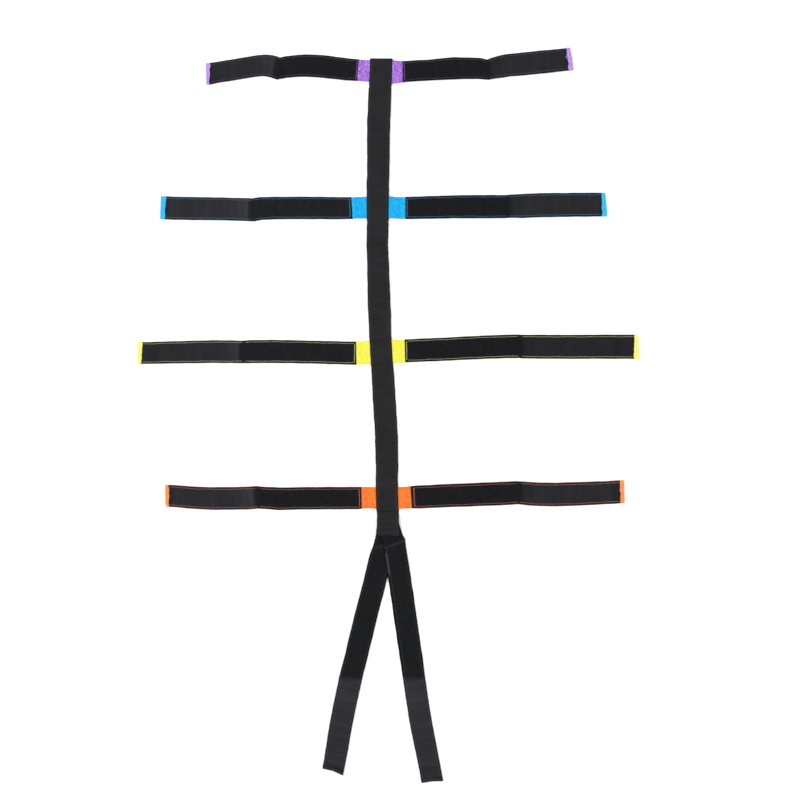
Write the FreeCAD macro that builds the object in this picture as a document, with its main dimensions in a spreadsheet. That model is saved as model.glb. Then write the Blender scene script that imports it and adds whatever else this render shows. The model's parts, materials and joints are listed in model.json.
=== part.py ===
import FreeCAD, Part
import math
import os
import Sketcher

# Body-restraint strap harness, laid flat: a doubled webbing spine, four cross
# straps that pass through tunnels between its two layers, and two shoulder
# straps that leave its lower end in a V. Every strap is cut at its creases.
# Millimetres and degrees. +Z is up and +Y runs along the spine towards the ankle
# strap. Left is -X. The origin is on the underside, where the chest strap
# crosses the spine. The spine's back layer lies below its front layer.

os.makedirs("parts", exist_ok=True)
doc = FreeCAD.newDocument("strap_harness")
sheet = doc.addObject("Spreadsheet::Sheet", "dims")
dims = {}
parts = []


# ---------------------------------------------------------------- dimensions
def dimension(alias, value):
    """Store a value in the sheet, and in dims for use in Python."""
    row = len(dims) + 1
    sheet.set("A%d" % row, alias)
    sheet.set("B%d" % row, repr(float(value)))
    sheet.setAlias("B%d" % row, alias)
    dims[alias] = float(value)


SHARED = {
    "webbing_width": 50.0,
    "tape_width": 49.2,         # hook and loop tape
    "spine_width": 49.6,
    "webbing_thick": 1.4,
    "loop_thick": 1.8,
    "hook_thick": 1.5,
    # heights of undersides
    "tunnel_floor": 1.45,       # cross strap inside the spine
    "front_low": 1.5,           # front layer where it lies on the back layer
    "front_high": 2.95,         # front layer where it bridges a cross strap
    "yoke_high": 5.6,           # front layer where it bridges both shoulder straps
    "crossing_lift": 3.3,       # root of the right shoulder strap, over the left one
    # along the spine
    "tunnel_half": 28.0,        # half length of a tunnel
    "yoke_end_y": -40.0,        # where the front layer comes down from the yoke
    "back_start_y": -42.0,      # the back layer stops above the shoulder straps
    # creases
    "spine_gap": 0.9,           # half the gap at a crease of the spine
    "root_gap": 0.5,            # half the gap at a crease beside the spine
    "root_offset": 9.0,         # from the spine's edge to the crease beside it
    "straight_fold_gap": 0.5,   # half the gap at a crease in a strap with no bend
    "corner_clearance": 0.1,    # added to the half width where a strap bends
    "tape_end_gap": 0.1,        # from the end of the hook tape to the turned webbing
    # rows of sewing thread across the spine
    "thread_thick": 0.35,
    "thread_width": 0.8,
    "thread_length": 44.0,
    "thread_inset": 4.0,        # from a tunnel's outer wall to the row beside it
    "yoke_lower_row": 8.0,      # from the lower end of the spine
    "yoke_upper_row": 30.0,
}

# Ends of the spine and its creases, from the lower end up: x, y
SPINE_JOINTS = [(4.9, -81.9), (-3.1, 164.0), (-19.7, 485.0), (-19.1, 797.0), (-11.7, 974.0)]
# Spine segments between those joints: y where the cross strap passes through
SPINE_CROSSINGS = {"chest": 0.0, "waist": 325.0, "thigh": 644.0, "ankle": 946.0}

# Each strap has an inner half with loop tape and an outer half with hook tape.
# x, y is a point on the spine's edge for a cross strap's arm, and the crease
# nearest the spine for a shoulder strap. A turn is a direction from +X.
# The hem is the turned end. Only arms have bare webbing, beside the spine.
STRAP_COLUMNS = ("x", "y", "inner_turn", "outer_turn", "inner_length", "outer_length",
                 "hem_length", "bare_length")
STRAPS = {
    "ankle_left": (-37.5, 947.7, 175.15, 183.27, 208.2, 168.4, 10.6, 27.4),
    "ankle_right": (13.4, 943.7, 0.14, 3.92, 209.9, 182.5, 10.8, 21.3),
    "thigh_left": (-45.1, 643.9, 179.18, 178.15, 258.4, 217.2, 12.3, 34.0),
    "thigh_right": (3.6, 643.2, 359.39, 359.84, 262.9, 211.7, 11.5, 38.5),
    "waist_left": (-37.7, 322.0, 179.18, 180.51, 288.1, 248.3, 9.8, 31.5),
    "waist_right": (10.7, 325.7, 1.74, 359.34, 283.0, 252.7, 9.5, 29.8),
    "chest_left": (-25.6, -0.1, 180.72, 179.18, 265.7, 218.0, 9.0, 30.9),
    "chest_right": (23.7, 0.9, 2.91, 1.52, 268.1, 224.9, 9.0, 30.2),
    "shoulder_left": (-28.7, -191.2, 256.23, 258.96, 214.2, 215.7, 9.0),
    "shoulder_right": (27.64, -170.35, 278.22, 279.96, 226.6, 232.2, 9.0),
}

# Sewn roots of the shoulder straps: x, y of the top end, turn, length, and
# distance from the top end to the start of the loop tape
ROOT_COLUMNS = ("x", "y", "turn", "length", "tape_start")
ROOTS = {
    "shoulder_left_root": (1.3, -52.1, 258.06, 133.0, 52.0),
    "shoulder_right_root": (13.9, -86.2, 279.2, 73.8, 16.0),
}


def strap_dimensions(name, row):
    for column, value in zip(STRAP_COLUMNS, row):
        dimension(name + "_" + column, value)
    bend = abs(dims[name + "_outer_turn"] - dims[name + "_inner_turn"]) % 360
    bend = min(bend, 360 - bend)
    # half the gap at the crease, so that the square ends clear each other
    reach = dims["webbing_width"] / 2 + dims["corner_clearance"]
    dimension(name + "_fold_gap",
              dims["straight_fold_gap"] + reach * math.tan(math.radians(bend / 2)))


def spine_dimensions(name, lower, upper, crossing_y):
    prefix = "spine_" + name + "_"
    length = math.dist(lower, upper)
    rise = upper[1] - lower[1]

    def distance_to(y):
        """Distance along the segment from its lower end to a height y."""
        return round((y - lower[1]) * length / rise, 3)

    dimension(prefix + "lower_x", lower[0])
    dimension(prefix + "lower_y", lower[1])
    dimension(prefix + "turn", math.degrees(math.atan2(rise, upper[0] - lower[0])) - 90.0)
    dimension(prefix + "length", round(length, 3))
    dimension(prefix + "crossing", distance_to(crossing_y))
    if name == "chest":
        dimension("yoke_length", distance_to(dims["yoke_end_y"]))
        dimension("back_start", distance_to(dims["back_start_y"]))


def crossing_dimensions(name):
    """Line from the left arm's point on the spine's edge to the right arm's."""
    left, right = [(dims[name + side + "x"], dims[name + side + "y"])
                   for side in ("_left_", "_right_")]
    dimension(name + "_crossing_width", round(math.dist(left, right), 3))
    dimension(name + "_crossing_turn",
              math.degrees(math.atan2(right[1] - left[1], right[0] - left[0])))


for alias, value in SHARED.items():
    dimension(alias, value)
for name, row in STRAPS.items():
    strap_dimensions(name, row)
for name, row in ROOTS.items():
    for column, value in zip(ROOT_COLUMNS, row):
        dimension(name + "_" + column, value)
for (name, crossing_y), lower, upper in zip(SPINE_CROSSINGS.items(), SPINE_JOINTS,
                                            SPINE_JOINTS[1:]):
    spine_dimensions(name, lower, upper, crossing_y)
    crossing_dimensions(name)
doc.recompute()     # the aliases must have values before anything is bound to them


# ------------------------------------------------------------------- helpers
# Profiles are written as expressions: sums of products of aliases and numbers.
def evaluate(expression):
    """Value of an expression, used as the first guess of a bound constraint."""
    total = 0.0
    for piece in expression.replace("-", "+-").split("+"):
        piece = piece.strip()
        if not piece:
            continue
        sign = -1.0 if piece.startswith("-") else 1.0
        factors = [factor.strip() for factor in piece.lstrip("- ").split("*")]
        total += sign * math.prod(dims[f] if f in dims else float(f) for f in factors)
    return total


def bound(expression):
    """The same expression with every alias prefixed by the sheet's name."""
    for operator in "*+-":
        expression = expression.replace(operator, " " + operator + " ")
    return " ".join("dims." + token if token in dims else token
                    for token in expression.split())


def draw_profile(body, role, name, points):
    """Closed sketch of straight lines on one of the body's origin planes, with
    every corner bound to the sheet."""
    plane = [feature for feature in body.Origin.OriginFeatures if feature.Role == role][0]
    sketch = body.newObject("Sketcher::SketchObject", name)
    sketch.AttachmentSupport = [(plane, "")]
    sketch.MapMode = "FlatFace"
    corners = [FreeCAD.Vector(evaluate(x), evaluate(y), 0) for x, y in points]
    count = len(corners)
    for i in range(count):
        sketch.addGeometry(Part.LineSegment(corners[i], corners[(i + 1) % count]), False)
    for i in range(count):
        sketch.addConstraint(Sketcher.Constraint("Coincident", i, 2, (i + 1) % count, 1))
    # geometry -1 is the sketch's X axis, which starts at its origin, and -2 its Y axis
    for i, (x, y) in enumerate(points):
        for kind, zero_axis, expression, value in (("DistanceX", -2, x, corners[i].x),
                                                   ("DistanceY", -1, y, corners[i].y)):
            if abs(value) < 1e-9:
                sketch.addConstraint(Sketcher.Constraint("PointOnObject", i, 1, zero_axis))
            else:
                index = sketch.addConstraint(Sketcher.Constraint(kind, -1, 1, i, 1, value))
                sketch.setExpression("Constraints[%d]" % index, bound(expression))
    return sketch


def slab(name, role, points, width, placement):
    """Body padded by half its width to each side of its profile."""
    body = doc.addObject("PartDesign::Body", name)
    body.Label = name
    sketch = draw_profile(body, role, name + "_profile", points)
    pad = body.newObject("PartDesign::Pad", name + "_pad")
    pad.Profile = sketch
    pad.SideType = "Symmetric"
    pad.Length = dims[width]
    pad.setExpression("Length", bound(width))
    body.Tip = pad
    sketch.Visibility = False
    body.Placement = placement
    parts.append(body)


def turned(x, y, z, turn):
    """Placement turned about Z, then moved."""
    return FreeCAD.Placement(FreeCAD.Vector(x, y, z),
                             FreeCAD.Rotation(FreeCAD.Vector(0, 0, 1), turn))


def rectangle(start, end, bottom, top):
    return [(start, bottom), (end, bottom), (end, top), (start, top)]


def webbing(name, start, end, placement):
    """Flat webbing along local +X."""
    slab(name, "XZ_Plane", rectangle(start, end, "0", "webbing_thick"),
         "webbing_width", placement)


def tape(name, start, end, thick, placement):
    """Tape along local +X, lying on the webbing."""
    slab(name, "XZ_Plane", rectangle(start, end, "webbing_thick", "webbing_thick + " + thick),
         "tape_width", placement)


# --------------------------------------------------------------------- spine
def spine_placement(name):
    """Local +Y runs up the segment from its lower end."""
    prefix = "spine_" + name + "_"
    return turned(dims[prefix + "lower_x"], dims[prefix + "lower_y"], 0, dims[prefix + "turn"])


def front_profile(name, lower, upper):
    """Front layer: lies on the back layer and rises over each strap it covers."""
    tunnel_start = "spine_" + name + "_crossing - tunnel_half"
    tunnel_end = "spine_" + name + "_crossing + tunnel_half"
    low_top = "front_low + webbing_thick"
    high_top = "front_high + webbing_thick"

    if name == "chest":
        yoke_top = "yoke_high + webbing_thick"
        yoke_wall = "yoke_length + webbing_thick"
        lower_underside = [(lower, "yoke_high"), ("yoke_length", "yoke_high"),
                           ("yoke_length", "front_low")]
        lower_top = [(yoke_wall, low_top), (yoke_wall, yoke_top), (lower, yoke_top)]
    else:
        lower_underside = [(lower, "front_low")]
        lower_top = [(lower, low_top)]

    if name == "ankle":
        # the webbing turns down round the end of the tunnel to the back layer
        wall = upper + " - webbing_thick"
        upper_end = [(wall, "front_high"), (wall, "webbing_thick"),
                     (upper, "webbing_thick"), (upper, high_top)]
    else:
        wall = tunnel_end + " + webbing_thick"
        upper_end = [(tunnel_end, "front_high"), (tunnel_end, "front_low"),
                     (upper, "front_low"), (upper, low_top),
                     (wall, low_top), (wall, high_top)]

    start_wall = tunnel_start + " - webbing_thick"
    return (lower_underside + [(tunnel_start, "front_low"), (tunnel_start, "front_high")]
            + upper_end + [(start_wall, high_top), (start_wall, low_top)] + lower_top)


def spine_layers(name):
    placement = spine_placement(name)
    lower = "0" if name == "chest" else "spine_gap"
    upper = "spine_" + name + "_length"
    if name != "ankle":
        upper += " - spine_gap"
    back_lower = "back_start" if name == "chest" else lower
    slab("spine_back_" + name, "YZ_Plane", rectangle(back_lower, upper, "0", "webbing_thick"),
         "spine_width", placement)
    slab("spine_front_" + name, "YZ_Plane", front_profile(name, lower, upper),
         "spine_width", placement)


def thread_row(y, z):
    """Bar of thread across the spine, centred on y, with its underside at z."""
    length, width = dims["thread_length"], dims["thread_width"]
    return Part.makeBox(length, width, dims["thread_thick"],
                        FreeCAD.Vector(-length / 2, y - width / 2, z))


def spine_seams(name):
    """Rows beside the tunnel's ends, and two more on the chest segment's yoke."""
    crossing = dims["spine_" + name + "_crossing"]
    reach = dims["tunnel_half"] + dims["webbing_thick"] + dims["thread_inset"]
    low_top = dims["front_low"] + dims["webbing_thick"]
    rows = [thread_row(crossing - reach, low_top)]
    if name != "ankle":
        rows.append(thread_row(crossing + reach, low_top))
    if name == "chest":
        yoke_top = dims["yoke_high"] + dims["webbing_thick"]
        rows += [thread_row(dims[y], yoke_top) for y in ("yoke_lower_row", "yoke_upper_row")]
    seams = doc.addObject("Part::Feature", "spine_seams_" + name)
    seams.Label = "spine_seams_" + name
    seams.Shape = Part.makeCompound(rows)
    seams.Placement = spine_placement(name)
    parts.append(seams)


# -------------------------------------------------------------------- straps
def inner_half(name, webbing_start, tape_start, placement):
    """Webbing with loop tape, up to the crease in the strap."""
    end = name + "_inner_length - " + name + "_fold_gap"
    webbing(name + "_inner_webbing", webbing_start, end, placement)
    tape(name + "_loop_tape", tape_start, end, "loop_thick", placement)


def outer_half(name, placement):
    """Webbing with hook tape, its end turned back over the end of the tape."""
    start = name + "_fold_gap"
    end = name + "_outer_length"
    end_wall = end + " - webbing_thick"
    hem_start = end + " - " + name + "_hem_length"
    hem_bottom = "webbing_thick + hook_thick"
    hem_top = "2 * webbing_thick + hook_thick"
    slab(name + "_outer_webbing", "XZ_Plane",
         [(start, "0"), (end, "0"), (end, hem_top), (hem_start, hem_top),
          (hem_start, hem_bottom), (end_wall, hem_bottom),
          (end_wall, "webbing_thick"), (start, "webbing_thick")],
         "webbing_width", placement)
    tape(name + "_hook_tape", start, end_wall + " - tape_end_gap", "hook_thick", placement)


def strap_halves(name, webbing_start, tape_start):
    """The outer half starts where the inner half's line ends."""
    x, y = dims[name + "_x"], dims[name + "_y"]
    turn, length = dims[name + "_inner_turn"], dims[name + "_inner_length"]
    inner_half(name, webbing_start, tape_start, turned(x, y, 0, turn))
    angle = math.radians(turn)
    outer_half(name, turned(x + length * math.cos(angle), y + length * math.sin(angle), 0,
                            dims[name + "_outer_turn"]))


def cross_strap_centre(name):
    """Webbing through the spine's tunnel, from one crease beside it to the other."""
    slab(name + "_webbing_centre", "XZ_Plane",
         rectangle("-root_offset + root_gap",
                   name + "_crossing_width + root_offset - root_gap",
                   "tunnel_floor", "tunnel_floor + webbing_thick"),
         "webbing_width",
         turned(dims[name + "_left_x"], dims[name + "_left_y"], 0,
                dims[name + "_crossing_turn"]))


def shoulder_root(name, z):
    """Part of a shoulder strap that is sewn into the spine's lower end."""
    placement = turned(dims[name + "_x"], dims[name + "_y"], z, dims[name + "_turn"])
    end = name + "_length"
    webbing(name + "_webbing", "0", end, placement)
    tape(name + "_tape", name + "_tape_start", end, "loop_thick", placement)


for name in SPINE_CROSSINGS:
    spine_layers(name)
    spine_seams(name)
    cross_strap_centre(name)
    for side in ("_left", "_right"):
        arm = name + side
        strap_halves(arm, "root_offset + root_gap", arm + "_bare_length")

shoulder_root("shoulder_left_root", 0)
shoulder_root("shoulder_right_root", dims["crossing_lift"])
for name in ("shoulder_left", "shoulder_right"):
    strap_halves(name, "0", "0")

# ------------------------------------------------------------ check and save
doc.recompute()
faults = ["%s: %s" % (item.Name, item.State) for item in doc.Objects
          if "Invalid" in item.State or "Error" in item.State]
for part in parts:
    if part.Shape.isNull() or not part.Shape.isValid():
        faults.append("%s: shape is null or not valid" % part.Label)
    elif part.Shape.Volume <= 0 or not part.Shape.Solids:
        faults.append("%s: no solid" % part.Label)
if faults:
    raise RuntimeError("; ".join(faults))
for part in parts:
    part.Shape.exportStep(os.path.join("parts", part.Label + ".step"))
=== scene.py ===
"""A harness of webbing straps with hook and loop tape, lying flat on a white floor.

The spine runs along Y. Four pairs of arms leave it, in order of rising Y: chest, waist, thigh
and ankle. Two shoulder straps leave its low end and run towards -Y. Z is up.
"""
import json
import math
import bpy
import numpy as np
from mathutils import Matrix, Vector


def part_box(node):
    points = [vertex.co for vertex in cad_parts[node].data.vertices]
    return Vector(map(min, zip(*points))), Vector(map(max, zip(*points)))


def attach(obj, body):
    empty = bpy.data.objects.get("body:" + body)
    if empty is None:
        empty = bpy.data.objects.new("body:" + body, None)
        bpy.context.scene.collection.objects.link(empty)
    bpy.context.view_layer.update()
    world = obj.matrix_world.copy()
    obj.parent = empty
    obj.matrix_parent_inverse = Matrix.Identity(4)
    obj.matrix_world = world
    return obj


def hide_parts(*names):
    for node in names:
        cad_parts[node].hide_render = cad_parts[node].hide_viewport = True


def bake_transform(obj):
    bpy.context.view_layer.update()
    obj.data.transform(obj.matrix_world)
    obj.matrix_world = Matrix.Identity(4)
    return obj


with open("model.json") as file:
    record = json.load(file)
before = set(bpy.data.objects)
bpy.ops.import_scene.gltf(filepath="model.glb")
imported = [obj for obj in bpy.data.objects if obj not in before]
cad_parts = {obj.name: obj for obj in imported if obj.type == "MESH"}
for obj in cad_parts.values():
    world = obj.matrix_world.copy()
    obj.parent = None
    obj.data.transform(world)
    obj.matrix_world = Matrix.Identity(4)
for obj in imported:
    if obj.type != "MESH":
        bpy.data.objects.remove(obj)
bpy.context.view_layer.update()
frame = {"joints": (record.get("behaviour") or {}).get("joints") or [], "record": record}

# ------------------------------------------------------------------ dimensions
# Everything is in millimetres until a mesh is made.
JOINT = {j["name"]: np.array(j["pos_m"], float)[:2] * 1000 for j in frame["joints"]}
MOUNT = {m["name"]: np.array(m["pos_m"], float)[:2] * 1000 for m in frame["record"]["mounts"]}
ROWS = ("chest", "waist", "thigh", "ankle")

WEB = 1.4                   # webbing thickness
PILE = 1.8                  # loop tape thickness
HOOK = 1.5                  # hook tape thickness
SELVEDGE = 5.4              # width of the woven edge of a tape
FRONT = 1.5                 # underside of the spine's front layer
TUNNEL = 2.95               # the same over a cross strap
YOKE = 5.3                  # the same over the shoulder straps
YOKE_END = 41.9             # where the spine comes down from the shoulder straps
CROSS = 1.45                # underside of a cross strap inside the spine
SEAM = 33.4                 # from a cross strap's middle to the sewing beside it
LOOP_THREAD = WEB + PILE * 0.62 + 0.22      # height of the thread along the tape edges
HOOK_THREAD = WEB + HOOK * 0.62 + 0.22

# How each strap lies: distance along the CAD line, sideways offset from it, half width.
# First the loop half from its start, then the hook half from the tape fold.
LIE = {
    "ankle_left": ([
        (13, 0.2, 23.7), (26, -0.1, 23.8), (54, -1.0, 24.2), (81, -2.9, 24.6), (108, -4.9, 25.0),
        (122, -5.3, 24.8), (150, -4.8, 24.7), (163, -3.7, 24.4), (177, -2.1, 24.2),
        (191, 0.0, 23.8), (204, 3.4, 23.5)], [
        (4, 2.6, 24.6), (17, -2.6, 24.3), (30, -5.6, 23.9), (44, -6.6, 23.8), (58, -6.1, 23.7),
        (86, -4.2, 23.5), (114, -2.5, 23.6), (142, -0.9, 23.6), (160, 0.5, 24.0)]),
    "ankle_right": ([
        (4, -0.6, 25.2), (17, -1.0, 24.1), (30, -0.8, 22.9), (57, 0.0, 23.0), (84, 0.2, 22.8),
        (110, 1.2, 23.7), (137, 1.9, 24.2), (163, 0.7, 23.4), (189, -0.7, 22.8),
        (203, -3.2, 21.8)], [
        (5, -3.2, 22.3), (19, -1.6, 23.6), (32, -0.3, 24.6), (45, 0.6, 24.4), (71, -0.1, 24.6),
        (103, -0.2, 25.0), (142, -0.6, 24.4), (172, -0.6, 24.3)]),
    "thigh_left": ([
        (7, -0.8, 23.9), (21, -0.5, 23.8), (34, 0.3, 24.2), (62, 0.3, 24.4), (102, -0.4, 24.7),
        (157, -1.1, 24.9), (212, -1.2, 25.0), (240, -0.5, 25.6), (254, 1.3, 25.7)], [
        (3, 2.2, 25.6), (30, 1.6, 25.6), (58, 1.1, 25.4), (100, 0.7, 25.7), (142, 0.7, 25.9),
        (184, 0.4, 26.0), (210, -0.6, 26.0)]),
    "thigh_right": ([
        (4, 0.9, 24.0), (16, -0.3, 23.9), (29, -1.3, 24.0), (56, -1.2, 24.5), (96, -0.7, 24.8),
        (149, 0.0, 25.0), (201, -0.4, 25.4), (241, -0.9, 25.0), (256, -0.9, 25.1)], [
        (4, -0.6, 25.2), (17, -0.4, 25.5), (30, -0.4, 26.0), (69, 0.6, 26.0), (107, 0.3, 25.9),
        (146, -0.1, 25.6), (184, -0.6, 25.6), (204, -1.0, 25.3)]),
    "waist_left": ([
        (8, -0.4, 25.6), (22, 0.5, 25.7), (35, 1.4, 25.6), (62, 0.8, 25.4), (103, 0.2, 25.5),
        (144, -0.4, 25.4), (185, -1.0, 25.7), (226, -1.0, 25.8), (268, -0.4, 25.8),
        (282, 0.3, 25.6)], [
        (3, 0.7, 25.2), (29, -0.3, 25.5), (70, -1.2, 25.6), (98, -1.2, 25.5), (141, -1.0, 25.2),
        (183, -0.8, 25.0), (212, -0.3, 24.9), (238, -0.6, 24.8)]),
    "waist_right": ([
        (8, -1.1, 25.6), (22, -1.3, 25.4), (35, -0.8, 25.2), (75, -0.5, 25.4), (115, -0.5, 25.3),
        (155, 0.3, 25.4), (194, 0.7, 25.4), (247, 0.8, 25.4), (273, 0.2, 25.5)], [
        (3, -0.6, 25.5), (22, -0.8, 25.8), (61, -0.8, 25.8), (119, -0.7, 25.8),
        (157, -0.2, 25.8), (196, 0.0, 25.8), (240, 0.2, 25.8)]),
    "chest_left": ([
        (13, -0.6, 23.6), (27, -0.5, 23.8), (40, 0.1, 24.6), (81, 0.2, 24.6), (136, 0.4, 24.8),
        (177, 0.7, 24.8), (204, 1.5, 25.0), (218, 1.5, 25.1), (232, 0.7, 25.0),
        (245, 0.1, 24.7), (259, -0.9, 24.8)], [
        (3, -1.8, 25.2), (14, -0.5, 25.4), (28, 0.8, 25.4), (56, 1.9, 25.2), (84, 3.1, 25.5),
        (112, 3.7, 25.4), (140, 3.5, 25.0), (168, 2.2, 25.0), (196, 0.5, 24.8),
        (212, 0.4, 24.8)]),
    "chest_right": ([
        (4, -0.6, 24.1), (18, -0.5, 24.0), (31, 0.0, 24.4), (45, -0.1, 25.0), (71, 0.2, 25.1),
        (111, 0.5, 25.2), (164, 0.3, 25.3), (216, 0.4, 25.4), (243, 0.3, 25.2),
        (258, 0.9, 25.2)], [
        (3, 0.2, 25.1), (20, -1.7, 25.3), (39, -3.3, 25.4), (59, -4.0, 25.4), (78, -4.5, 25.4),
        (117, -4.0, 25.4), (155, -3.0, 24.9), (193, -1.9, 24.6), (218, -0.6, 24.6)]),
    "shoulder_left": ([
        (-4, 0.5, 25.3), (10, 0.1, 25.3), (38, -0.6, 25.1), (65, -0.9, 25.2), (121, -1.0, 25.5),
        (176, -0.8, 25.2), (204, -1.3, 25.5)], [
        (3, -1.5, 25.5), (31, -2.1, 25.3), (58, -2.5, 25.3), (100, -3.0, 25.2),
        (141, -2.3, 25.0), (168, -1.4, 24.7), (195, -0.9, 24.2)]),
    "shoulder_right": ([
        (16, -0.2, 25.2), (43, -0.2, 25.4), (83, -0.2, 25.4), (123, -0.1, 25.3),
        (163, 0.0, 25.3), (203, 0.3, 25.3), (220, 0.0, 24.9)], [
        (3, 0.0, 24.6), (30, -0.7, 24.4), (56, -1.3, 24.5), (96, -2.0, 24.5), (123, -1.5, 24.5),
        (150, -0.7, 24.2), (176, 0.0, 23.9), (215, 0.8, 23.9)]),
}
ARM_NAMES = [name for name in sorted(LIE) if "shoulder" not in name]

# The spine: Y, sideways offset from the CAD line, half width.
SPINE_LIE = [
    (-84, -1.8, 26.7), (-76, -1.5, 26.4), (-66, -1.1, 25.5), (-58, -0.8, 24.8), (-50, -0.7, 24.4),
    (-43, -1.1, 24.6), (0, -1.8, 24.7), (45, -1.0, 24.6), (68, 0.3, 24.8), (90, 0.6, 25.2),
    (134, 0.9, 25.4), (156, 0.9, 25.2), (178, 0.3, 25.3), (201, -0.1, 25.3), (245, -0.2, 25.2),
    (285, -0.6, 24.8), (325, -1.3, 24.6), (367, -1.6, 24.6), (389, -1.0, 24.9), (411, -0.6, 25.4),
    (433, -0.6, 25.4), (456, 0.0, 25.0), (478, 0.5, 24.8), (500, 0.4, 24.4), (522, -0.4, 24.3),
    (544, -1.5, 23.8), (567, -1.9, 24.0), (589, -1.6, 24.0), (604, -1.1, 24.2), (644, -1.1, 24.6),
    (689, -1.2, 24.9), (711, -0.5, 24.9), (755, 0.2, 25.1), (800, -0.1, 25.4), (822, -0.7, 25.5),
    (844, -1.0, 25.7), (866, -0.7, 25.6), (899, -1.1, 25.5), (917, -0.7, 25.2), (946, -0.6, 25.0),
    (970, -0.3, 24.9)]

# How each strap is finished. Length of the turned-over end and how far the tip stands out, both
# at the - edge, the middle and the + edge; slant of the loop tape's start; place of its cross
# row of sewing; how far the + and - edges are drawn in at the tape fold.
FINISH = {
    "ankle_left": ((10.9, 8.6, 5.9), (-0.7, 0.0, 0.9), -0.012, 2.6, (-2.2, 1.4)),
    "ankle_right": ((10.1, 8.4, 7.1), (0.7, 0.0, -3.1), 0.0, 3.9, (1.6, -1.5)),
    "thigh_left": ((12.3, 12.3, 12.3), (0.0, 0.0, 0.0), -0.041, 4.4, (-1.0, 1.0)),
    "thigh_right": ((10.6, 9.4, 8.3), (1.7, 0.0, -2.4), 0.0, 3.6, (0.3, 0.3)),
    "waist_left": ((11.3, 10.0, 8.3), (0.0, 0.0, 0.0), 0.032, 3.4, (0.3, 0.3)),
    "waist_right": ((11.3, 9.7, 8.2), (1.6, 0.0, -0.7), 0.042, 3.9, (0.3, 0.3)),
    "chest_left": ((7.9, 9.9, 6.4), (0.0, 0.0, -1.0), 0.036, 4.4, (0.4, 0.4)),
    "chest_right": ((9.6, 8.8, 8.3), (0.0, 0.0, 0.0), 0.0, 6.7, (0.4, 0.4)),
    "shoulder_left": ((7.7, 7.7, 7.7), (-0.9, -1.2, 3.0), -0.66, 2.2, (0.0, 0.0)),
    "shoulder_right": ((7.7, 7.7, 7.7), (0.0, -0.6, 1.8), -0.25, 2.2, (0.0, 0.0)),
}

# The shoulder straps next to the spine. top: Y of the hidden start; rise, extra: how high the
# strap lies over the other one; droop: how far its +X edge hangs; shift: the loop tape's move
# to +X; cut: slant of the tapes at their fold; bow: (Y, move to +X); tuck: (Y, how much of the
# +X edge is hidden or turned under).
SHOULDER = {
    "left": dict(
        top=-53.0, rise=0.0, extra=0.0, droop=0.0, shift=0.0, cut=-0.17,
        bow=[(-200, 0.0), (-175, 0.3), (-160, 0.5), (-138, 1.2), (-120, 3.0), (-105, 4.8),
             (-94, 5.2), (-82, 5.2), (-72, 4.0), (-62, 2.6), (-53, 2.8)],
        tuck=[(0, 0.0)]),
    "right": dict(
        top=-56.0, rise=3.3, extra=0.4, droop=2.3, shift=1.2, cut=0.145,
        bow=[(0, 0.0)],
        tuck=[(-112, 0.0), (-100, -0.6), (-94, -1.3), (-88, 2.0), (-82, 4.0), (-70, 5.0),
              (-56, 6.0)]),
}


# --------------------------------------------------------------- small helpers
def box_mm(node):
    return [np.array(corner) * 1000 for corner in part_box(node)]


def middle(node):
    low, high = box_mm(node)
    return ((low + high) / 2)[:2]


def unit(vector):
    return vector / np.linalg.norm(vector)


def ease(x):
    x = np.clip(x, 0, 1)
    return x * x * (3 - 2 * x)


def dip(x, width):
    """A bell of height 1 about 0."""
    return np.exp(-(x / width) ** 2)


def wander(x, seed, *waves):
    """A smooth wander, the same each run: a sum of sines of the given (wavelength, size)."""
    rng = np.random.RandomState(seed)
    out = np.zeros_like(x)
    for length, size in waves:
        for k in (1.0, 1.37, 0.71):
            phase = rng.uniform(0, 2 * math.pi)
            out = out + size / 1.7 * np.sin(2 * math.pi * x * k / length + phase)
    return out


def stations(start, *spans):
    """Places from start on, through (end, step) spans."""
    out = [start]
    for end, step in spans:
        count = max(1, int(round(abs(end - out[-1]) / step)))
        out += list(np.linspace(out[-1], end, count + 1)[1:])
    return np.array(out, float)


class Line:
    """The centre line of a strap in the plane, about 1 mm between its points."""

    def __init__(self, points, halves, reach, passes):
        points = np.array(points, float)
        kept = np.r_[True, self.steps(points) > 1e-6]
        points, halves = points[kept], np.array(halves, float)[kept]
        walked = np.r_[0, np.cumsum(self.steps(points))]
        even = np.linspace(0, walked[-1], int(walked[-1]) + 1)
        rows = np.stack([np.interp(even, walked, v) for v in (*points.T, halves)], -1)
        for _ in range(passes):     # a running mean over 2 * reach + 1 points
            before = 2 * rows[:1] - rows[reach:0:-1]
            after = 2 * rows[-1:] - rows[-2:-2 - reach:-1]
            total = np.cumsum(np.r_[np.zeros((1, 3)), before, rows, after], axis=0)
            rows = (total[2 * reach + 1:] - total[:-2 * reach - 1]) / (2 * reach + 1)
        self.points, self.halves = rows[:, :2], rows[:, 2]
        self.walked = np.r_[0, np.cumsum(self.steps(self.points))]
        ahead = np.gradient(self.points, axis=0)
        self.ahead = ahead / np.linalg.norm(ahead, axis=1)[:, None]
        self.length = self.walked[-1]

    @staticmethod
    def steps(points):
        return np.hypot(*(points[1:] - points[:-1]).T)

    def near(self, place):
        """Distance along the line of its point nearest to a place."""
        return float(self.walked[np.argmin(np.hypot(*(self.points - np.array(place)).T))])

    def at(self, s):
        """Points, directions ahead and directions to the + side."""
        s = np.asarray(s, float)
        place, ahead = (np.stack([np.interp(s, self.walked, v) for v in table.T], -1)
                        for table in (self.points, self.ahead))
        ahead /= np.linalg.norm(ahead, axis=-1, keepdims=True)
        over = np.clip(s - self.length, 0, None) + np.clip(s, None, 0)
        place = place + ahead * over[..., None]
        return place, ahead, np.stack([-ahead[..., 1], ahead[..., 0]], -1)

    def half(self, s):
        return np.interp(s, self.walked, self.halves)


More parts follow.
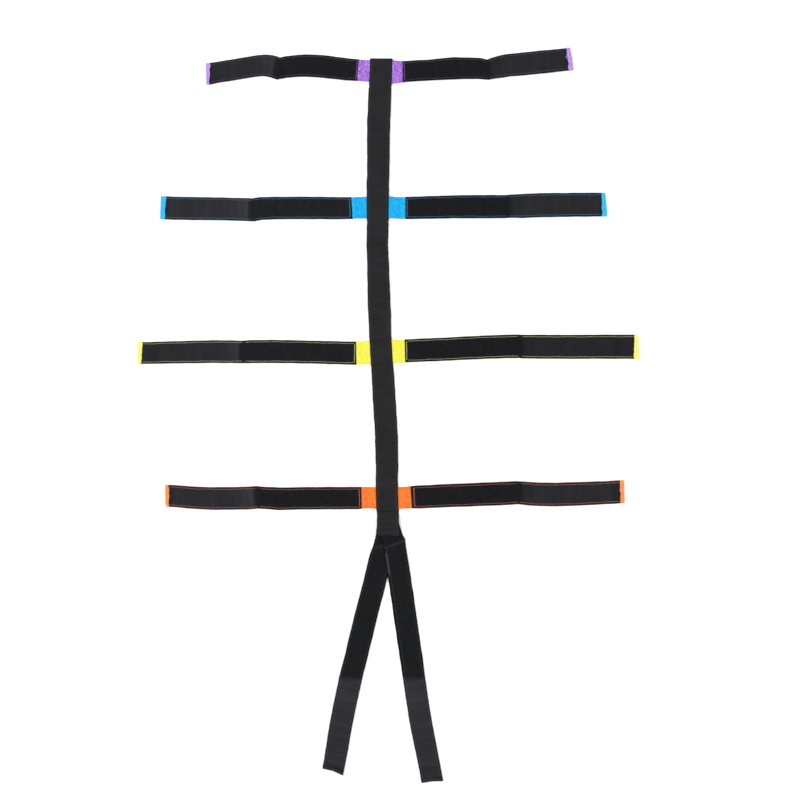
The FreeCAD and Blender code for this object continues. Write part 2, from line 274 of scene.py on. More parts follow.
# --------------------------------------------------------------------- ribbons
def make_mesh(name, verts, faces, material, **attributes):
    mesh = bpy.data.meshes.new(name)
    mesh.from_pydata((np.asarray(verts) * 0.001).tolist(), [], faces)
    for label, values in attributes.items():
        attribute = mesh.attributes.new(label, "FLOAT_VECTOR", "POINT")
        attribute.data.foreach_set("vector", np.asarray(values, np.float32).ravel())
    mesh.polygons.foreach_set("use_smooth", [True] * len(mesh.polygons))
    mesh.materials.append(material)
    mesh.validate()
    mesh.update()
    made = bpy.data.objects.new(name, mesh)
    bpy.context.scene.collection.objects.link(made)
    return made


def web_section(count):
    """Closed loop of webbing with round selvedges, and the selvedge radius.

    Columns: side (+1..-1), shift outwards, height from the middle."""
    r = WEB / 2
    loop = [(p, 0.0, r) for p in np.linspace(1, -1, count)]
    loop += [(-1, -r * math.sin(a), r * math.cos(a)) for a in np.radians([40, 90, 140])]
    loop += [(p, 0.0, -r) for p in np.linspace(-1, 1, count)]
    loop += [(1, r * math.sin(a), r * math.cos(a)) for a in np.radians([140, 90, 40])]
    return np.array(loop), r


def tape_section(thick):
    """The same for a tape with a thin woven edge each side; height is from its underside."""
    edge = [(0.0, 0.0), (0.0, 0.42 * thick), (-0.35, 0.55 * thick),
            (-SELVEDGE + 0.5, 0.6 * thick), (-SELVEDGE, 0.86 * thick), (-SELVEDGE - 0.7, thick)]
    loop = [(1, d, h) for d, h in edge]
    loop += [(p, -p * (SELVEDGE + 0.7), thick) for p in np.linspace(1, -1, 16)[1:-1]]
    loop += [(-1, -d, h) for d, h in reversed(edge)]
    loop += [(p, 0.0, 0.0) for p in np.linspace(-1, 1, 5)[1:-1]]
    return np.array(loop), 0.0


WEB_PLAIN = web_section(13)
WEB_FINE = web_section(27)
LOOP_SECTION = tape_section(PILE)
HOOK_SECTION = tape_section(HOOK)


def untrimmed(place):
    return np.zeros_like(place)


def ribbon(name, line, cloth, place, height, tilt, section, material, seed, relief, edge=0.25,
           lift=None, along=None, scale=1.0, inset=0.0, shift=0.0, origin=0.0,
           trim=(untrimmed, untrimmed)):
    """A strip swept along a line, with its attributes "lie" and "run".

    cloth: distance along the cloth; place: distance along the line; tilt: turn up from level;
    edge: roughness of the edges; along, lift: moves ahead and up; scale: of the thickness;
    trim: what comes off the + and - edges."""
    loop, radius = section
    p, out, rise = loop.T
    half = line.half(place) - inset
    plus, minus = (half + wander(cloth, s, (9, edge * 0.5), (47, edge)) - cut(place)
                   for s, cut in zip((seed, seed + 50), trim))
    width = np.where(p[None, :] > 0, plus[:, None], minus[:, None])
    aside = p[None, :] * (width - radius) + out[None, :] + shift
    rise = rise[None, :]
    up = rise * np.reshape(scale, (-1, 1)) + relief(cloth[:, None], aside, rise)
    centre, ahead, side = (v[:, None, :] for v in line.at(place))
    xy = centre + side * aside[..., None] - ahead * (up * np.sin(tilt)[:, None])[..., None]
    if along is not None:
        xy = xy + ahead * along(cloth[:, None], aside)[..., None]
    z = height[:, None] + up * np.cos(tilt)[:, None]
    if lift is not None:
        z = z + lift(place[:, None], aside)
    verts = np.concatenate([xy, z[..., None]], -1)

    rings, size = len(cloth), len(loop)
    i = np.arange(rings - 1)[:, None] * size
    j = np.arange(size)[None, :]
    following = (j + 1) % size
    quads = np.stack([i + size + j, i + size + following, i + following, i + j], -1)
    faces = quads.reshape(-1, 4).tolist()
    faces.append(list(range(size)))
    faces.append(list(range(rings * size - 1, (rings - 1) * size - 1, -1)))

    reach = np.repeat(cloth[:, None], size, 1)
    lie = np.stack([reach - origin, aside - shift, up], -1)
    run = np.stack([reach - cloth[0], cloth[-1] - reach, width - np.abs(aside - shift)], -1)
    return make_mesh(name, verts.reshape(-1, 3), faces, material, lie=lie, run=run)


def flat_ribbon(name, line, at, height, *args, **options):
    """A ribbon that doesn't turn over and follows the slope of its heights."""
    tilt = np.arctan(np.gradient(height, at))
    return ribbon(name, line, at, at, height, tilt, *args, **options)


def faces_only(rise, relief):
    """Relief outwards on the top and the underside, none on the selvedges."""
    return np.sign(rise) * np.where(np.abs(rise) > 0.6, 1.0, 0.0) * relief


def bowed(cloth, aside):
    """Distance along the cloth, for ribs that don't run quite straight."""
    return cloth + 0.35 * np.sin(aside * 0.19 + cloth * 0.013) + 0.25 * np.sin(cloth * 0.045)


def rib_relief(pitch):
    """The woven ribs across the strap as real relief."""
    def relief(cloth, aside, rise):
        ribs = 0.05 * np.cos(2 * math.pi * bowed(cloth, aside) / pitch)
        return faces_only(rise, ribs)
    return relief


def spine_relief(cloth, aside, rise):
    """Ribs prouder in the lower half, and puckered just above the shoulder straps."""
    low_half = 1 - ease((cloth - 330.0) / 120.0)
    near_yoke = ease((cloth - 4.0) / 8.0) * (1 - ease((cloth - 44.0) / 20.0))
    ribs = (0.018 + 0.05 * low_half) * np.cos(2 * math.pi * bowed(cloth, aside) / 4.0)
    fold = cloth + 0.9 * np.sin(aside * 0.16 + 1.0) + 0.06 * aside
    pucker = 0.13 * near_yoke * np.cos(2 * math.pi * fold / 5.4)
    pucker = pucker * (0.65 + 0.35 * np.sin(aside * 0.33 + cloth * 0.4))
    return faces_only(rise, ribs + pucker)


def pile_relief(seed, size):
    """Uneven pile, on the top only."""
    phase = np.random.RandomState(seed).uniform(0, 6.28, 8)

    def relief(cloth, aside, rise):
        top = np.clip((rise - 0.9 * HOOK) / 0.1, 0, 1)
        fine = np.sin(cloth * 1.9 + phase[0] + 2.1 * np.sin(aside * 0.7 + phase[1]))
        fine = fine * np.sin(aside * 1.7 + phase[2] + 1.3 * np.sin(cloth * 0.6 + phase[3]))
        broad = np.sin(cloth * 0.21 + phase[4] + 0.12 * aside) * np.sin(aside * 0.25 + phase[5])
        return top * (fine + 0.8 * broad) * size
    return relief


# -------------------------------------------------------------------- stitches
# Rings of a stitch: place along it, height, fatness.
STITCH_RINGS = ((-0.5, -0.34, 0.75), (-0.36, 0.1, 1.0), (0.0, 0.2, 1.05), (0.36, 0.1, 1.0),
                (0.5, -0.34, 0.75))


def stitches(name, rows, material, seed, thick=0.42):
    """Short rounded bars of thread that dive into the cloth at both ends.

    rows: centres, directions, sideways directions, stitch length, fatness."""
    verts, faces, lie = [], [], []
    rng = np.random.RandomState(seed)
    ring = [(math.cos(q), math.sin(q)) for q in np.linspace(0, 2 * math.pi, 7)[:-1]]
    bar = []
    for first in range(0, 24, 6):
        for q in range(6):
            a, b = first + q, first + (q + 1) % 6
            bar.append((a, a + 6, b + 6, b))
    bar += [tuple(range(6)), tuple(range(29, 23, -1))]
    count = 0
    for centres, ways, sides, length, fat in rows:
        for centre, way, side in zip(centres, ways, sides):
            way = way + side * rng.normal(0, 0.035)
            long = length * (1 + rng.normal(0, 0.05))
            wide = thick * fat * (1 + rng.normal(0, 0.05))
            for along, rise, swell in STITCH_RINGS:
                for aside, up in ring:
                    x, y = (centre[k] + way[k] * along * long + side[k] * aside * wide * swell
                            for k in (0, 1))
                    verts.append((x, y, centre[2] + rise + up * wide * 0.62 * swell))
                    lie.append((count * 5.0 + along * long, aside * 0.5, rise))
            faces += [tuple(count * 30 + k for k in face) for face in bar]
            count += 1
    return make_mesh(name, verts, faces, material, lie=lie)


def spread(start, end, pitch):
    count = max(1, int(round((end - start) / pitch)))
    return start + (np.arange(count) + 0.5) * (end - start) / count


def value_at(value, *places):
    """A value that is either a number or a function of place."""
    return value(*places) if callable(value) else np.full(len(places[0]), float(value))


def row_along(line, start, end, aside, height, pitch, length, seed, fat=1.0):
    """One row of stitches along the strap."""
    s = spread(start, end, pitch)
    t = value_at(aside, s) + wander(s, seed, (60, 0.35), (13, 0.105))
    centre, ahead, side = line.at(s)
    return (np.c_[centre + side * t[:, None], value_at(height, s, t)], ahead, side, length, fat)


def row_across(line, at, start, end, height, pitch, length, seed, slant=0.0, fat=1.0):
    """One row of stitches across the strap."""
    t = spread(start, end, pitch)
    s = at + slant * t + wander(t, seed, (25, 0.3))
    centre, ahead, side = line.at(s)
    return (np.c_[centre + side * t[:, None], value_at(height, s, t)], side + ahead * slant,
            ahead, length, fat)


# ------------------------------------------------------------------- materials
class Shade:
    """A small helper to write node trees as expressions.

    along, aside: place on the cloth; to_end: cloth left before its end; rim: distance in from
    the nearest edge."""

    def __init__(self, name, has_run=True):
        self.material = bpy.data.materials.new(name)
        self.material.use_nodes = True
        self.tree = self.material.node_tree
        self.tree.nodes.clear()
        output = self.node("OutputMaterial")
        self.surface = self.node("BsdfPrincipled")
        self.put(output.inputs["Surface"], self.surface.outputs[0])
        self.lie, (self.along, self.aside, _) = self.attribute("lie")
        if has_run:
            _, (_, self.to_end, self.rim) = self.attribute("run")

    def node(self, kind, **settings):
        made = self.tree.nodes.new("ShaderNode" + kind)
        for key, value in settings.items():
            setattr(made, key, value)
        return made

    def put(self, socket, value):
        if isinstance(value, (int, float, tuple)):
            socket.default_value = value
        else:
            self.tree.links.new(value, socket)

    def attribute(self, name):
        vector = self.node("Attribute", attribute_name=name).outputs["Vector"]
        parts = self.node("SeparateXYZ")
        self.put(parts.inputs[0], vector)
        return vector, tuple(parts.outputs)

    def math(self, kind, a, b=0.0, c=0.0):
        made = self.node("Math", operation=kind)
        for k, value in enumerate((a, b, c)):
            self.put(made.inputs[k], value)
        return made.outputs[0]

    def add(self, a, b):
        return self.math("ADD", a, b)

    def mul(self, a, b):
        return self.math("MULTIPLY", a, b)

    def wave(self, x, pitch):
        """0..1 cosine of the given pitch."""
        cosine = self.math("COSINE", self.math("MULTIPLY_ADD", x, 2 * math.pi / pitch, 0.0))
        return self.math("MULTIPLY_ADD", cosine, 0.5, 0.5)

    def zigzag(self, x, pitch):
        """0..1 triangle wave."""
        part = self.math("FRACT", self.math("DIVIDE", x, pitch))
        return self.mul(self.math("ABSOLUTE", self.math("SUBTRACT", part, 0.5)), 2.0)

    def noise_of(self, vector, scale, detail, rough):
        made = self.node("TexNoise")
        for key, value in (("Vector", vector), ("Scale", scale), ("Detail", detail),
                           ("Roughness", rough)):
            self.put(made.inputs[key], value)
        return made.outputs["Fac"]

    def noise(self, scale, detail=2.0, rough=0.5, stretch=(1, 1, 1), seed=0.0):
        mapping = self.node("Mapping")
        mapping.inputs["Scale"].default_value = stretch
        mapping.inputs["Location"].default_value = (seed, seed * 0.7, 0)
        self.put(mapping.inputs["Vector"], self.lie)
        return self.noise_of(mapping.outputs[0], scale, detail, rough)

    def ramp(self, x, low, high, start=0.0, end=1.0):
        """Smoothly from start, where x is low, to end, where x is high."""
        made = self.node("MapRange", interpolation_type="SMOOTHSTEP")
        for key, value in (("Value", x), ("From Min", low), ("From Max", high),
                           ("To Min", start), ("To Max", end)):
            self.put(made.inputs[key], value)
        return made.outputs["Result"]

    def fade(self, x, low, high):
        return self.ramp(x, low, high, 1.0, 0.0)

    def mix(self, factor, a, b):
        made = self.node("Mix", data_type="RGBA")
        self.put(made.inputs["Factor"], factor)
        for k, value in ((6, a), (7, b)):
            self.put(made.inputs[k], (*value, 1.0) if isinstance(value, tuple) else value)
        return made.outputs[2]

    def bump(self, height, distance, strength, normal=None):
        made = self.node("Bump")
        self.put(made.inputs["Distance"], distance)
        self.put(made.inputs["Strength"], strength)
        self.put(made.inputs["Height"], height)
        if normal is not None:
            self.put(made.inputs["Normal"], normal)
        return made.outputs[0]

    def finish(self, **inputs):
        for key, value in inputs.items():
            self.put(self.surface.inputs[key.replace("_", " ")], value)
        return self.material


def srgb(*rgb, level=1.0):
    """An sRGB colour in 0-255 as a linear one, times level."""
    parts = [c / 255.0 for c in rgb]
    return tuple((c / 12.92 if c <= 0.04045 else ((c + 0.055) / 1.055) ** 2.4) * level
                 for c in parts)


MATT = 0.715    # the lights lift a matt surface by about 1 / MATT
# near-black colour of the painted shade along the edges of the tapes
EDGE_SHADE = (0.0018, 0.0018, 0.002)

# Webbing: its three sRGB colours, strength of the slanting blotches (streak) and of the fine
# lines across (cross), the two thread colours, and how much thread shows in the long rows (fat).
CLOTH = {
    "ankle": dict(colour="purple", base=(177, 121, 227), deep=(142, 82, 201),
                  pale=(216, 171, 249), streak=0.9, cross=0.15,
                  thread=((150, 118, 186), (84, 62, 104)), fat=0.4),
    "thigh": dict(colour="blue", base=(36, 187, 249), deep=(12, 166, 236),
                  pale=(74, 205, 255), streak=0.4, cross=0.6,
                  thread=((92, 158, 200), (45, 88, 118)), fat=1.0),
    "waist": dict(colour="yellow", base=(255, 250, 90), deep=(246, 238, 40),
                  pale=(255, 254, 150), streak=0.7, cross=0.2,
                  thread=((222, 224, 180), (150, 150, 110)), fat=1.15),
    "chest": dict(colour="orange", base=(255, 136, 58), deep=(248, 112, 34),
                  pale=(255, 168, 100), streak=0.4, cross=0.5,
                  thread=((238, 140, 112), (165, 84, 64)), fat=0.95),
}
# Base, deep and pale colours of the tapes, and how light each is next to the others.
LOOP_COLOURS = (srgb(27, 27, 30), srgb(10, 10, 12), srgb(46, 46, 50))
HOOK_COLOURS = (srgb(38, 37, 43), srgb(18, 18, 21), srgb(58, 58, 66))
LOOP_LEVEL = {"thigh_left": 1.3, "waist_left": 1.15, "waist_right": 0.95}
HOOK_LEVEL = {"thigh_left": 1.28, "thigh_right": 1.02, "waist_left": 0.97, "waist_right": 0.74,
              "chest_left": 1.15}


def coloured_webbing(row, suffix="", turned=0.0):
    """Webbing in a broken herringbone of fat yarns, paler where its cut end is.

    turned: strength of the painted light that makes the cloth paler where its end is turned over."""
    cloth = CLOTH[row]
    base, deep, pale = (srgb(*cloth[key], level=MATT) for key in ("base", "deep", "pale"))
    streak, cross = cloth["streak"], cloth["cross"]
    m = Shade(cloth["colour"] + "_weave" + suffix)
    rib = m.wave(m.add(m.along, m.mul(m.zigzag(m.aside, 16.8), 6.0)), 2.3)
    weave = m.add(m.mul(rib, 0.7), m.mul(m.wave(m.aside, 1.2), 0.3))
    skew = m.node("CombineXYZ")
    m.put(skew.inputs[0], m.add(m.mul(m.along, 1.0), m.mul(m.aside, 0.55)))
    m.put(skew.inputs[1], m.mul(m.aside, 0.28))
    blotches = m.noise_of(skew.outputs[0], scale=0.42, detail=4.0, rough=0.65)
    blotches = m.ramp(blotches, 0.36, 0.66)
    lines = m.wave(m.add(m.along, m.mul(m.noise(0.08, seed=2.0), 3.0)), 4.7)
    lines = m.mul(lines, m.ramp(m.noise(0.12, seed=15.0), 0.35, 0.62))
    slub = m.noise(0.9, stretch=(0.5, 1.6, 1.0), seed=9.0)
    fine = m.add(m.mul(slub, 0.22), m.mul(lines, cross * 0.7))
    tone = m.add(m.mul(weave, 0.16), m.add(m.mul(blotches, streak), fine))
    mid = 0.19 + streak * 0.5 + cross * 0.35
    body = m.mix(m.ramp(tone, mid - 0.3, mid), deep, base)
    body = m.mix(m.ramp(tone, mid + 0.02, mid + 0.32), body, pale)
    # painted shade: darker towards the deep colour along both edges
    colour = m.mix(m.mul(m.fade(m.rim, 0.3, 1.8), 0.5), body, deep)
    colour = m.mix(m.mul(m.fade(m.to_end, 0.3, 1.3), 0.5), colour, pale)
    # painted light: the turned-over end is made paler
    if turned:
        colour = m.mix(m.mul(m.fade(m.to_end, 11.0, 15.0), turned), colour, pale)
    normal = m.bump(weave, distance=0.00022, strength=0.75)
    normal = m.bump(slub, distance=0.0001, strength=0.4, normal=normal)
    return m.finish(Base_Color=colour, Roughness=m.ramp(weave, 0.0, 1.0, 0.72, 0.55),
                    Specular_IOR_Level=0.05, Sheen_Weight=0.02, Sheen_Roughness=0.4,
                    Normal=normal)


def black_webbing(name, base, deep, pale, spec, puckered=False, turned=None):
    """Black webbing with ribs across it and a faint paler line inside each selvedge.

    puckered: gathered above the shoulder straps, with painted light and shade across the gathers;
    turned: base and deep colours of the turned end, painted lighter as it catches more light."""
    m = Shade(name)
    drift = m.mul(m.noise(0.05, seed=2.0), 1.6)
    rib = m.wave(m.add(m.along, drift), 2.9)
    beat = m.wave(m.add(m.along, m.mul(drift, 1.5)), 4.1)
    calm = m.noise(0.012, detail=1.0, stretch=(1, 0.3, 1), seed=11.0)
    calm = m.ramp(calm, 0.42, 0.6)
    yarn = m.wave(m.add(m.aside, m.mul(rib, 0.3)), 1.45)
    weave = m.add(m.mul(rib, 0.75), m.mul(yarn, 0.25))
    cloud = m.noise(0.045, detail=3.0, rough=0.55, stretch=(1, 0.6, 1), seed=5.0)
    lint = m.noise(1.6, rough=0.6, seed=7.0)
    fine = m.add(m.mul(lint, 0.2), m.mul(m.mul(beat, calm), 0.10))
    tone = m.add(m.mul(weave, 0.28), m.add(m.mul(cloud, 0.5), fine))
    if puckered:
        # painted light and shade across the gathers above the shoulder straps
        pucker_shade_mask = m.mul(m.ramp(m.along, 5.0, 11.0), m.fade(m.along, 42.0, 66.0))
        bend = m.mul(m.noise(0.09, stretch=(1, 0.7, 1), seed=21.0), 6.0)
        fold = m.wave(m.add(m.along, bend), 5.4)
        tone = m.add(tone, m.mul(m.add(fold, -0.5), m.mul(pucker_shade_mask, 0.75)))
    colour = m.mix(m.ramp(tone, 0.2, 0.9), deep, base)
    if turned is not None:
        # painted light: the turned end gets lighter colours as it catches more light
        end_colour = m.mix(m.ramp(tone, 0.2, 0.9), turned[1], turned[0])
        colour = m.mix(m.fade(m.to_end, 11.0, 16.0), colour, end_colour)
    line = m.fade(m.math("ABSOLUTE", m.math("SUBTRACT", m.rim, 4.6)), 0.3, 1.6)
    colour = m.mix(m.mul(line, 0.2), colour, pale)
    # painted shade: near black along both edges
    colour = m.mix(m.mul(m.fade(m.rim, 0.8, 2.6), 0.9), colour, (0.002, 0.002, 0.0022))
    return m.finish(Base_Color=colour, Roughness=m.ramp(weave, 0.0, 1.0, 0.75, 0.5),
                    Specular_IOR_Level=spec, Sheen_Weight=0.03, Sheen_Roughness=0.35,
                    Sheen_Tint=(0.8, 0.8, 0.85, 1),
                    Normal=m.bump(weave, distance=0.0002, strength=0.7))


def tape_rim(m, colour, pale, wear):
    """A paler woven edge by the pile and near-black painted shade along the rim outside it."""
    selvedge = m.mul(m.ramp(m.rim, 2.2, 3.2), m.fade(m.rim, 5.0, 5.7))
    colour = m.mix(m.mul(selvedge, wear), colour, pale)
    return m.mix(m.mul(m.fade(m.rim, 1.4, 2.8), 0.85), colour, EDGE_SHADE)


def loop_tape(name, level, cut_colour=(0.0025, 0.0025, 0.0028), cut_from=1.6, cut_to=2.4,
              lit=False):
    """Loop pile: a mat of fine loops, brushed in patches, with a cut end.

    lit: the - edge catches the light where it lies over the other strap."""
    m = Shade(name)
    base, deep, pale = (tuple(c * level for c in colour) for colour in LOOP_COLOURS)
    fuzz = m.noise(1.9, detail=4.0, rough=0.7, seed=1.0)
    brushed = m.noise(0.11, detail=3.0, rough=0.6, stretch=(1.0, 0.6, 1.0), seed=4.0)
    patches = m.add(m.mul(brushed, 0.35), m.mul(m.wave(m.aside, 1.05), 0.08))
    tone = m.add(m.mul(fuzz, 0.75), patches)
    colour = tape_rim(m, m.mix(m.ramp(tone, 0.38, 0.82), deep, base), pale, wear=0.3)
    colour = m.mix(m.mul(m.fade(m.along, cut_from, cut_to), 0.8), colour, cut_colour)
    if lit:
        edge = m.mul(m.fade(m.rim, 2.4, 3.2), m.fade(m.aside, -4.0, -2.0))
        stretch = m.mul(m.ramp(m.along, 12.0, 20.0), m.fade(m.along, 62.0, 74.0))
        colour = m.mix(m.mul(edge, stretch), colour, srgb(64, 62, 72))
    normal = m.bump(fuzz, distance=0.00035, strength=0.9)
    normal = m.bump(m.wave(m.along, 1.6), distance=0.00008, strength=0.5, normal=normal)
    return m.finish(Base_Color=colour, Roughness=0.95, Specular_IOR_Level=0.03,
                    Sheen_Weight=0.10, Sheen_Roughness=0.55, Sheen_Tint=(0.75, 0.78, 0.9, 1),
                    Normal=normal)


def hook_tape(name, level, bend, lean=0.0):
    """Hook tape: rows of stiff fine hooks, streaked across where it has bent.

    bend: painted light and shade next to the tape fold. "left" dips into shade, then swells into
    the light;
    "right" comes out of the shade slowly; "even" hardly changes. lean: slant of that painted
    shade."""
    m = Shade(name)
    base, deep, pale = (tuple(c * level for c in colour) for colour in HOOK_COLOURS)
    stagger = m.mul(m.math("FLOOR", m.math("DIVIDE", m.aside, 1.5)), 0.85)
    cell = m.mul(m.wave(m.add(m.along, stagger), 1.7), m.wave(m.aside, 1.5))
    streak = m.noise(0.42, detail=3.0, rough=0.6, stretch=(1.0, 0.03, 1.0), seed=6.0)
    broad = m.noise(0.03, stretch=(1.0, 0.3, 1.0), seed=8.0)
    tone = m.add(m.mul(cell, 0.30), m.add(m.mul(streak, 0.5), m.mul(broad, 0.42)))
    colour = m.mix(m.ramp(tone, 0.22, 0.95), deep, base)
    colour = m.mix(m.ramp(tone, 0.62, 1.05), colour, pale)

    at = m.add(m.along, m.add(m.mul(m.noise(0.09, seed=12.0), 4.0), -2.0))
    ragged = m.mul(m.math("SUBTRACT", streak, 0.5), 3.0)
    at = m.add(at, m.add(ragged, m.mul(m.aside, lean)))
    # two ramps of painted light and shade by the tape fold: from, to, level at from, level at to
    first, second = {
        "even": ((0.0, 9.0, 0.58, 1.1), (40.0, 90.0, 0.0, -0.12)),
        "left": ((8.5, 14.0, 0.42, 1.62), (22.0, 48.0, 0.0, -0.62)),
        "right": ((0.0, 13.0, 0.30, 0.82), (10.0, 36.0, 0.0, 0.18)),
    }[bend]
    # the colour is scaled by the painted light and shade next to the tape fold
    fold_light_scale = m.node("VectorMath", operation="SCALE")
    m.put(fold_light_scale.inputs[0], colour)
    m.put(fold_light_scale.inputs["Scale"], m.add(m.ramp(at, *first), m.ramp(at, *second)))
    colour = tape_rim(m, fold_light_scale.outputs[0], pale, wear=0.25)
    end_shade = m.mul(m.fade(m.to_end, 2.6, 4.0), 0.85)
    colour = m.mix(end_shade, colour, (0.0025, 0.0022, 0.0024))
    normal = m.bump(cell, distance=0.00035, strength=0.9)
    normal = m.bump(streak, distance=0.0002, strength=0.4, normal=normal)
    return m.finish(Base_Color=colour, Roughness=m.ramp(cell, 0.0, 1.0, 0.7, 0.42),
                    Specular_IOR_Level=0.13, Sheen_Weight=0.04, Sheen_Roughness=0.3,
                    Sheen_Tint=(0.8, 0.82, 0.95, 1), Normal=normal)


def thread(name, base, deep):
    """Twisted thread."""
    m = Shade(name, has_run=False)
    ply = m.wave(m.add(m.along, m.mul(m.aside, 1.2)), 0.8)
    return m.finish(Base_Color=m.mix(ply, deep, base), Roughness=0.5, Specular_IOR_Level=0.25,
                    Normal=m.bump(ply, distance=0.0001, strength=0.6))


webbing = {row: coloured_webbing(row) for row in CLOTH}
webbing_lit_ends = {row: coloured_webbing(row, "_turned", turned=0.6) for row in CLOTH}
threads = {row: thread(cloth["colour"] + "_thread",
                       *(srgb(*rgb, level=MATT) for rgb in cloth["thread"]))
           for row, cloth in CLOTH.items()}
spine_weave = black_webbing("black_weave", base=srgb(35, 35, 37), deep=srgb(17, 17, 18),
                            pale=srgb(62, 62, 66), spec=0.11, puckered=True)
DULL = dict(base=srgb(24, 24, 26), deep=srgb(11, 11, 12), pale=srgb(46, 46, 50), spec=0.06)
shoulder_weave = black_webbing("black_weave_dull", **DULL)
shoulder_end_weave = black_webbing("black_weave_ends", **DULL,
                                   turned=(srgb(48, 47, 52), srgb(24, 24, 27)))
loop_mats = {name: loop_tape(name + "_loop", LOOP_LEVEL.get(name, 1.0)) for name in ARM_NAMES}
hook_mats = {name: hook_tape(name + "_hooks", HOOK_LEVEL.get(name, 1.0),
                             bend=name.split("_")[1], lean=0.16 if name == "ankle_left" else 0.0)
             for name in ARM_NAMES}
shoulder_hooks = hook_tape("shoulder_hooks", level=1.42, bend="even")
SHOULDER_LOOP = dict(level=1.02, cut_colour=srgb(38, 38, 40), cut_from=3.0, cut_to=6.5)
shoulder_loops = {"left": loop_tape("shoulder_loop", **SHOULDER_LOOP),
                  "right": loop_tape("shoulder_loop_lit", **SHOULDER_LOOP, lit=True)}
black_thread = thread("black_thread", base=srgb(56, 56, 58), deep=srgb(20, 20, 21))


# ------------------------------------------------ parts shared by all the straps
def read_table(rows, at):
    """Offsets and half widths of a LIE table at the given places."""
    place, offset, half = np.array(rows, float).T
    return np.interp(at, place, offset), np.interp(at, place, half)


def across(three, aside):
    """Value at a side place from the three of a FINISH entry."""
    return np.interp(aside, (-21.0, 0.0, 21.0), three)


class Strap:
    """An arm or a shoulder strap: how it lies and how it is finished."""

    def __init__(self, name, number):
        self.name, self.number = name, number
        self.inner, self.outer = name + "_inner", name + "_outer"
        self.hem, self.tip, self.slant, self.cross_row, self.drawn = FINISH[name]
        is_shoulder = name.startswith("shoulder")
        self.hem_seed = (770 if is_shoulder else 700) + number
        fold, end = JOINT[name + "_tape_fold"], MOUNT[name + "_end"]
        loop_middle = MOUNT[name + "_loop_face"]
        way, outer_way = unit(fold - loop_middle), unit(end - fold)
        if is_shoulder:
            start = 2 * loop_middle - fold
        else:
            start = JOINT[name + "_crease"] - 9.0 * way
        length = float(np.dot(fold - start, way))
        # webbing left bare before the loop tape
        self.bare = max(0.0, 2 * float(np.dot(loop_middle - start, way)) - length)
        side = np.array([-way[1], way[0]])
        outer_side = np.array([-outer_way[1], outer_way[0]])
        s_in = np.arange(0, length - 3, 3.0)
        s_out = np.arange(4, float(np.dot(end - fold, outer_way)), 3.0)
        off_in, half_in = read_table(LIE[name][0], s_in)
        off_out, half_out = read_table(LIE[name][1], s_out)
        self.points = [start + s * way + o * side for s, o in zip(s_in, off_in)]
        self.points += [fold + s * outer_way + o * outer_side for s, o in zip(s_out, off_out)]
        self.points.append(end + off_out[-1] * outer_side)
        self.halves = [*half_in, *half_out, half_out[-1]]
        self.start, self.fold, self.way, self.outer_way = start, fold, way, outer_way
        self.start_laid = start + off_in[0] * side
        self.fold_laid = fold + (off_in[-1] + off_out[0]) / 2 * side

    def set_line(self, points, halves, reach):
        self.line = Line(points, halves, reach, passes=2)
        self.start_at = self.line.near(self.start_laid)
        self.fold_at = self.line.near(self.fold_laid)
        self.end_at = self.line.length
        self.crease_at = self.line.near(JOINT[self.name + "_crease"])

    def pinch(self):
        """Trim of both edges at the tape fold; a negative one stands out in a small point."""
        return tuple(lambda s, a=a: a * np.exp(-np.abs(s - self.fold_at) / 2.6)
                     for a in self.drawn)

    def hem_extra(self, aside):
        """How much further than at its middle the turned end reaches back."""
        rough = 1.6 if self.name.startswith("ankle") else 1.0
        out = across(self.hem, aside) - self.hem[1]
        out = out + rough * wander(aside, self.hem_seed, (18, 0.55), (7, 0.28))
        if self.name == "ankle_right":
            out = out + 6.0 * np.exp(-np.abs((aside - 3.0) / 2.4) ** 1.5)
        return out

    def edge_rows(self, start, ends, height, inset, length, seed, fat, shift=0.0):
        """Rows of stitches inside the + and - edges."""
        return [row_along(self.line, start, end,
                          lambda s: sign * (self.line.half(s) - shift - inset) + shift,
                          height, 4.6, length, seed + k, fat=fat)
                for k, (sign, end) in enumerate(zip((1, -1), ends))]


def turned_webbing(strap, begin, material, seed, pitch):
    """Webbing from the loop half to the tip, turned up and back over the hook tape."""
    tip, fold, hem = strap.end_at, strap.fold_at, strap.hem[1]
    rise = WEB + HOOK
    r = rise / 2
    flat = stations(begin, (fold - 2.4, 2.0), (fold + 2.4, 0.3), (tip - 12, 2.0),
                    (tip - r - WEB / 2, 1.0))
    last = flat[-1]
    turn = np.linspace(0, math.pi, 11)[1:]
    run = hem - (r + WEB / 2)
    back = np.linspace(0, run, max(3, int(run / 0.7)))[1:]
    cloth = np.r_[flat, last + turn * r, last + math.pi * r + back]
    place = np.r_[flat, last + r * np.sin(turn), last - back]
    height = WEB / 2 + np.r_[0 * flat, r - r * np.cos(turn), np.full(len(back), rise)]
    tilt = np.r_[0 * flat, turn, np.full(len(back), math.pi)]
    turn_middle = last + math.pi * r * 0.5
    cloth_end = last + math.pi * r + run

    def outline(at, aside):
        """Pushes the tip and the inner edge of the hem into their own outlines."""
        out = across(strap.tip, aside) * ease((at - (turn_middle - 11.0)) / 9.0)
        if strap.name == "chest_left":
            corner = ease((aside - 17.0) / 8.0)
            out = out - 2.6 * corner * ease((at - (turn_middle - 9.0)) / 8.0)
        grown = ease((at - turn_middle) / (cloth_end - turn_middle))
        return out - strap.hem_extra(aside) * grown

    made = ribbon(strap.name + "_webbing_far", strap.line, cloth, place, height, tilt, WEB_FINE,
                  material, seed, rib_relief(pitch), along=outline, trim=strap.pinch())
    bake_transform(made)
    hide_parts(strap.name + "_outer_webbing")


